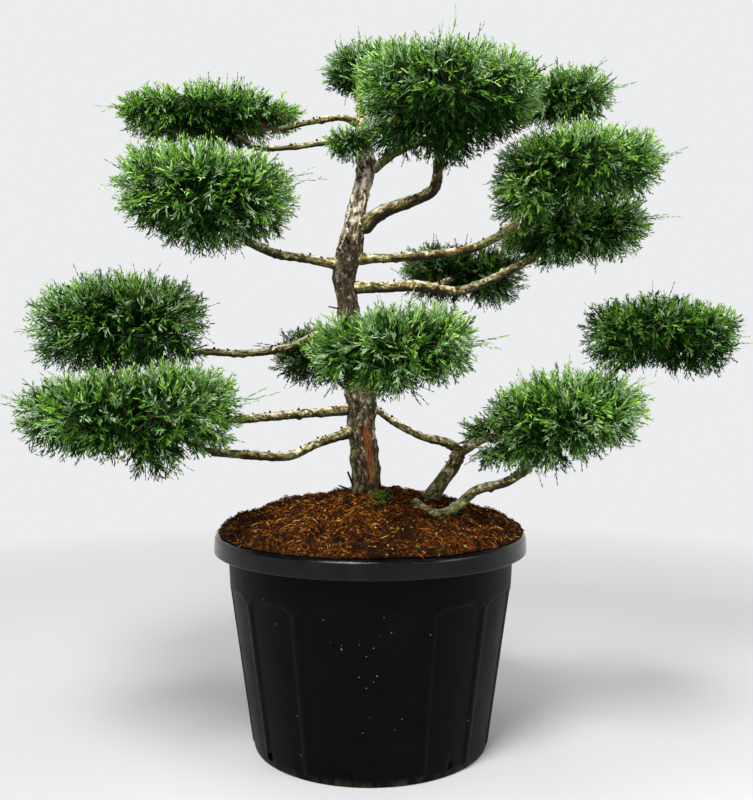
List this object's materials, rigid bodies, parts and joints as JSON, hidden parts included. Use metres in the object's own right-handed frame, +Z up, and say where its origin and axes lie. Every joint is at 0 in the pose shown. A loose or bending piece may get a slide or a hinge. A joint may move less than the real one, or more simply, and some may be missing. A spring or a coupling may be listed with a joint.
{
  "type": "potted cloud-pruned juniper",
  "caption": "Cloud-pruned juniper in a ribbed black nursery pot: a leaning trunk with bare boughs, each ending in a clipped pad of needle foliage.",
  "frame": {"origin": "middle of the pot's flat underside, on the floor", "axes": "+Z up along the pot's axis; the plant's front, as pictured, faces -Y and its longest reach lies along X"},
  "size_m": [1.9098, 0.9987, 1.8375],
  "materials": {
    "pot_plastic": "satin",
    "coir": "matte",
    "bark": "matte",
    "needles": "matte"
  },
  "bodies": {
    "root": {"pot": "pot_plastic", "filling": "coir", "trunk": "bark", "side_stem": "bark", "bough_left_high_rear_top": "bark", "bough_left_high_rear_low": "bark", "bough_left_high_front": "bark", "bough_left_middle": "bark", "bough_left_low_top": "bark", "bough_left_low_bottom": "bark", "bough_crown_lower": "bark", "bough_crown_upper": "bark", "bough_crown_rear_left": "bark", "bough_crown_rear_right": "bark", "bough_right_high_front": "bark", "bough_right_high_rear": "bark", "bough_centre_rear": "bark", "bough_centre_front": "bark", "bough_centre_left_rear": "bark", "bough_right_far": "bark", "bough_right_low": "bark", "pad_left_high_rear": "needles", "pad_left_high_front": "needles", "pad_left_middle": "needles", "pad_left_low": "needles", "pad_crown_front": "needles", "pad_crown_left_small": "needles", "pad_crown_rear_left": "needles", "pad_crown_rear_right": "needles", "pad_right_high_front": "needles", "pad_right_high_rear": "needles", "pad_centre_rear": "needles", "pad_right_far": "needles", "pad_right_low": "needles", "pad_centre_front": "needles", "pad_centre_left_rear": "needles"}
  },
  "joints": []
}
